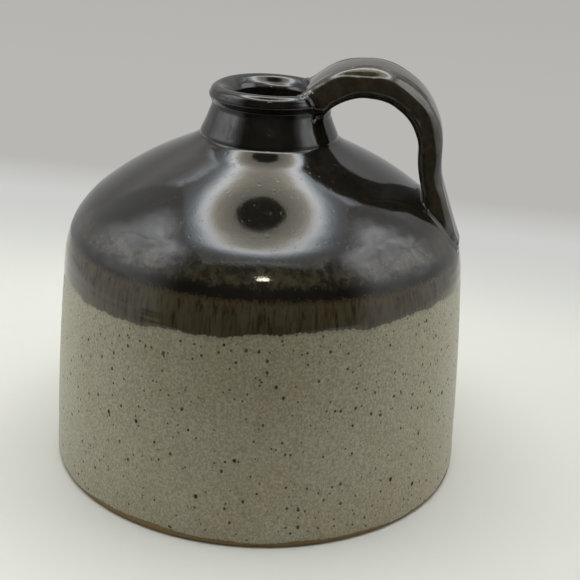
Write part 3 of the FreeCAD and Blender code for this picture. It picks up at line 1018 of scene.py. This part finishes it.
class JUG_OT_add_studio(bpy.types.Operator):
    """Set up the paper floor, the light tent with its ring lamp, and the camera"""

    bl_idname = "jug.add_studio"
    bl_label = "Light Tent and Camera"

    def execute(self, context):
        p = context.scene.jug_studio
        self.turn = Matrix.Rotation(p.azimuth, 4, "Z")
        half, top = p.tent_half, p.tent_height
        middle, standing = (-0.5, -0.5), (-0.5, 0.0)
        over = Matrix.Rotation(math.pi, 4, "X")
        upright = Matrix.Rotation(math.pi / 2, 4, "X")
        self.panel("floor", 8.0, 8.0, middle, Matrix.Identity(4), paper_sweep(p), seen=True)
        self.panel(
            "tent_roof", 2 * half, 2 * half, middle,
            Matrix.Translation((0, 0, top)) @ over, tent_roof(p),
        )
        self.panel(
            "tent_back", 4 * half, top, standing,
            Matrix.Translation((0, p.tent_back, 0)) @ Matrix.Rotation(-p.back_turn, 4, "Z")
            @ upright, tent_back(p), seen=True,
        )
        for side, name, rise, fall in (
            (-1, "left", (-0.24, -0.11), (0.05, 0.21)),
            (1, "right", (-0.20, -0.06), (0.12, 0.26)),
        ):
            face = Matrix.Rotation(-side * math.pi / 2, 4, "Z")
            self.panel(
                f"tent_{name}", 2 * half, top, standing,
                Matrix.Translation((side * half, 0, 0)) @ face @ upright,
                tent_side(f"tent_{name}_nylon", p.side_strength, rise, fall, side),
            )
        self.panel(
            "tent_front", 2 * half, top, standing,
            Matrix.Translation((0, -half, 0)) @ Matrix.Rotation(math.pi, 4, "Z") @ upright,
            tent_front(p),
        )
        self.world(context.scene)
        self.camera(context.scene, p)
        return {"FINISHED"}

    def panel(self, name, width, depth, start, place, material, seen=False):
        """A flat sheet facing its own +Z; start is its lower left corner, in widths and depths."""
        left, low = width * start[0], depth * start[1]
        right, high = left + width, low + depth
        corners = [(left, low, 0), (right, low, 0), (right, high, 0), (left, high, 0)]
        mesh = bpy.data.meshes.new(name)
        mesh.from_pydata(corners, [], [(0, 1, 2, 3)])
        mesh.materials.append(material)
        sheet = bpy.data.objects.new(name, mesh)
        sheet.matrix_world = self.turn @ place
        sheet.visible_camera = seen
        bpy.context.scene.collection.objects.link(sheet)
        return sheet

    def world(self, scene):
        """A pale surround for the camera, and dim light from the tent's open front."""
        world = bpy.data.worlds.new("open_front")
        scene.world = world
        board = Board(world)
        tone = board.mixed(
            board.camera_ray(), rgba(srgb("#565656")), rgba(scene.jug_studio.wall_high)
        )
        light = board.add("Background", {"Color": tone, "Strength": 1.0})
        board.add("OutputWorld", {"Surface": light.outputs[0]})

    def camera(self, scene, p):
        data = bpy.data.cameras.new("camera")
        data.lens = p.lens
        data.sensor_width = 36.0
        camera = bpy.data.objects.new("camera", data)
        scene.collection.objects.link(camera)
        level, out = math.sin(p.elevation), math.cos(p.elevation)
        away = Vector((math.sin(p.azimuth) * out, -math.cos(p.azimuth) * out, level))
        right = Vector((math.cos(p.azimuth), math.sin(p.azimuth), 0))
        look = Matrix((right, away.cross(right), away)).transposed().to_quaternion()
        camera.location = Vector((0, 0, p.target_height)) + away * p.distance
        camera.rotation_mode = "QUATERNION"
        camera.rotation_quaternion = (
            look @ Quaternion((0, 0, 1), p.roll)
            @ Quaternion((0, 1, 0), -p.aim_right) @ Quaternion((1, 0, 0), -p.aim_down)
        )
        scene.camera = camera
        scene.view_settings.view_transform = "Standard"


class JUG_PT_sidebar(bpy.types.Panel):
    """The jug's pieces and its studio"""

    bl_label = "Whiskey Jug"
    bl_idname = "JUG_PT_sidebar"
    bl_space_type = "VIEW_3D"
    bl_region_type = "UI"
    bl_category = "Jug"

    def draw(self, context):
        layout = self.layout
        for operator, groups in (
            (JUG_OT_add_glazed_jug, ("jug_pot", "jug_strap", "jug_glaze")),
            (JUG_OT_add_studio, ("jug_studio",)),
        ):
            layout.operator(operator.bl_idname)
            for name in groups:
                group = getattr(context.scene, name)
                box = layout.box()
                for field in group.__annotations__:
                    box.prop(group, field)


GROUPS = {
    "jug_pot": JugPotSizes,
    "jug_strap": JugStrapSizes,
    "jug_glaze": JugGlazeColours,
    "jug_studio": JugStudio,
}
CLASSES = (*GROUPS.values(), JUG_OT_add_glazed_jug, JUG_OT_add_studio, JUG_PT_sidebar)


def register():
    for item in CLASSES:
        bpy.utils.register_class(item)
    for name, group in GROUPS.items():
        setattr(bpy.types.Scene, name, PointerProperty(type=group))


def unregister():
    for name in GROUPS:
        delattr(bpy.types.Scene, name)
    for item in reversed(CLASSES):
        bpy.utils.unregister_class(item)


def main():
    register()
    bpy.ops.jug.add_glazed_jug()
    bpy.ops.jug.add_studio()


if __name__ == "__main__":
    main()
